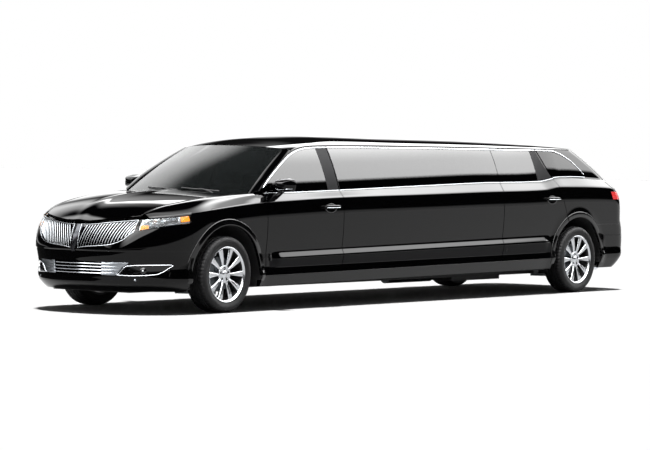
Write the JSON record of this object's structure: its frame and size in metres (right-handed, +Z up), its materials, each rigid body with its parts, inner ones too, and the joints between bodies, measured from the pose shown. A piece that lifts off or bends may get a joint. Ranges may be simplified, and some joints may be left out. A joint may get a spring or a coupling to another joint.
{
  "type": "stretch limousine",
  "caption": "Long black stretch limousine with a wagon tail, split bright grille, opening doors, hood and tailgate, steered front wheels and dark windows.",
  "frame": {"origin": "centre of the footprint box, on the ground", "axes": "+X forward along the car, +Y to its left side, +Z up"},
  "size_m": [8.3233, 2.1532, 1.7132],
  "materials": {
    "body_paint": "gloss black",
    "bright_trim": "polished",
    "window_glass": "dark tint",
    "lamp_lens": "clear",
    "red_lens": "gloss",
    "underbody": "satin",
    "liner": "matte",
    "steel": "satin",
    "engine_casting": "cast",
    "hide": "grained",
    "tread": "matte",
    "alloy": "polished"
  },
  "bodies": {
    "body": {"fenders": "body_paint", "front_bumper": "body_paint", "roof": "body_paint", "stretch_sides": "body_paint", "quarter_panels": "body_paint", "rear_bumper": "body_paint", "sills": "body_paint", "front_pillars": "body_paint", "grille": "bright_trim", "lower_grille": "bright_trim", "windshield": "window_glass", "side_glass": "window_glass", "front_lamps": "lamp_lens", "tail_lamps": "red_lens", "floor_pan": "underbody", "frame_rails": "underbody", "hinge_pillars": "underbody", "cowl_bulkhead": "underbody", "wheel_liners": "liner", "cowl_panel": "liner", "dashboard": "liner", "fuel_tank": "liner", "hood_hinges": "steel", "gate_hinges": "steel", "front_suspension": "steel", "rear_suspension": "steel", "exhaust": "steel", "engine": "engine_casting", "front_seats": "hide", "lounge": "hide"},
    "hood": {"hood": "body_paint"},
    "tailgate": {"tailgate": "body_paint", "gate_glass": "window_glass"},
    "front_door_left": {"front_door_left": "body_paint", "front_glass_left": "window_glass"},
    "front_door_right": {"front_door_right": "body_paint", "front_glass_right": "window_glass"},
    "rear_door_left": {"rear_door_left": "body_paint", "rear_glass_left": "window_glass"},
    "rear_door_right": {"rear_door_right": "body_paint", "rear_glass_right": "window_glass"},
    "steering_left": {"knuckle_left": "steel"},
    "steering_right": {"knuckle_right": "steel"},
    "wheel_front_left": {"tyre_front_left": "tread", "rim_front_left": "alloy"},
    "wheel_front_right": {"tyre_front_right": "tread", "rim_front_right": "alloy"},
    "wheel_rear_left": {"tyre_rear_left": "tread", "rim_rear_left": "alloy"},
    "wheel_rear_right": {"tyre_rear_right": "tread", "rim_rear_right": "alloy"},
    "steering_wheel": {"steering_wheel": "hide"}
  },
  "joints": [
    {"name": "hood_hinge", "type": "hinge", "parent": "body", "child": "hood", "pos_m": [2.7305, 0, 1.092], "axis": [0, -1, 0], "range_deg": [0, 50]},
    {"name": "tailgate_hinge", "type": "hinge", "parent": "body", "child": "tailgate", "pos_m": [-3.3005, 0, 1.59156], "axis": [0, 1, 0], "range_deg": [0, 70]},
    {"name": "front_door_left_hinge", "type": "hinge", "parent": "body", "child": "front_door_left", "pos_m": [2.3295, 0.945, 0.71], "axis": [0, 0, -1], "range_deg": [0, 62]},
    {"name": "rear_door_left_hinge", "type": "hinge", "parent": "body", "child": "rear_door_left", "pos_m": [-1.6705, 0.945, 0.71], "axis": [0, 0, -1], "range_deg": [0, 62]},
    {"name": "steering_left_turn", "type": "hinge", "parent": "body", "child": "steering_left", "pos_m": [2.9775, 0.766, 0.369], "axis": [0, 0, 1], "range_deg": [-33, 33]},
    {"name": "wheel_front_left_spin", "type": "hinge", "parent": "steering_left", "child": "wheel_front_left", "pos_m": [2.9775, 0.826, 0.369], "axis": [0, 1, 0], "continuous": true},
    {"name": "wheel_rear_left_spin", "type": "hinge", "parent": "body", "child": "wheel_rear_left", "pos_m": [-3.0675, 0.826, 0.369], "axis": [0, 1, 0], "continuous": true},
    {"name": "front_door_right_hinge", "type": "hinge", "parent": "body", "child": "front_door_right", "pos_m": [2.3295, -0.945, 0.71], "axis": [0, 0, 1], "range_deg": [0, 62]},
    {"name": "rear_door_right_hinge", "type": "hinge", "parent": "body", "child": "rear_door_right", "pos_m": [-1.6705, -0.945, 0.71], "axis": [0, 0, 1], "range_deg": [0, 62]},
    {"name": "steering_right_turn", "type": "hinge", "parent": "body", "child": "steering_right", "pos_m": [2.9775, -0.766, 0.369], "axis": [0, 0, 1], "range_deg": [-33, 33]},
    {"name": "wheel_front_right_spin", "type": "hinge", "parent": "steering_right", "child": "wheel_front_right", "pos_m": [2.9775, -0.826, 0.369], "axis": [0, 1, 0], "continuous": true},
    {"name": "wheel_rear_right_spin", "type": "hinge", "parent": "body", "child": "wheel_rear_right", "pos_m": [-3.0675, -0.826, 0.369], "axis": [0, 1, 0], "continuous": true},
    {"name": "steering_wheel_turn", "type": "hinge", "parent": "body", "child": "steering_wheel", "pos_m": [1.9621, 0.37, 0.96], "axis": [-0.9135, 0, 0.4067], "range_deg": [-400, 400]}
  ],
  "couplings": [
    {"joint": "steering_right_turn", "follows": "steering_left_turn", "ratio": 1},
    {"joint": "steering_wheel_turn", "follows": "steering_left_turn", "ratio": 12}
  ]
}
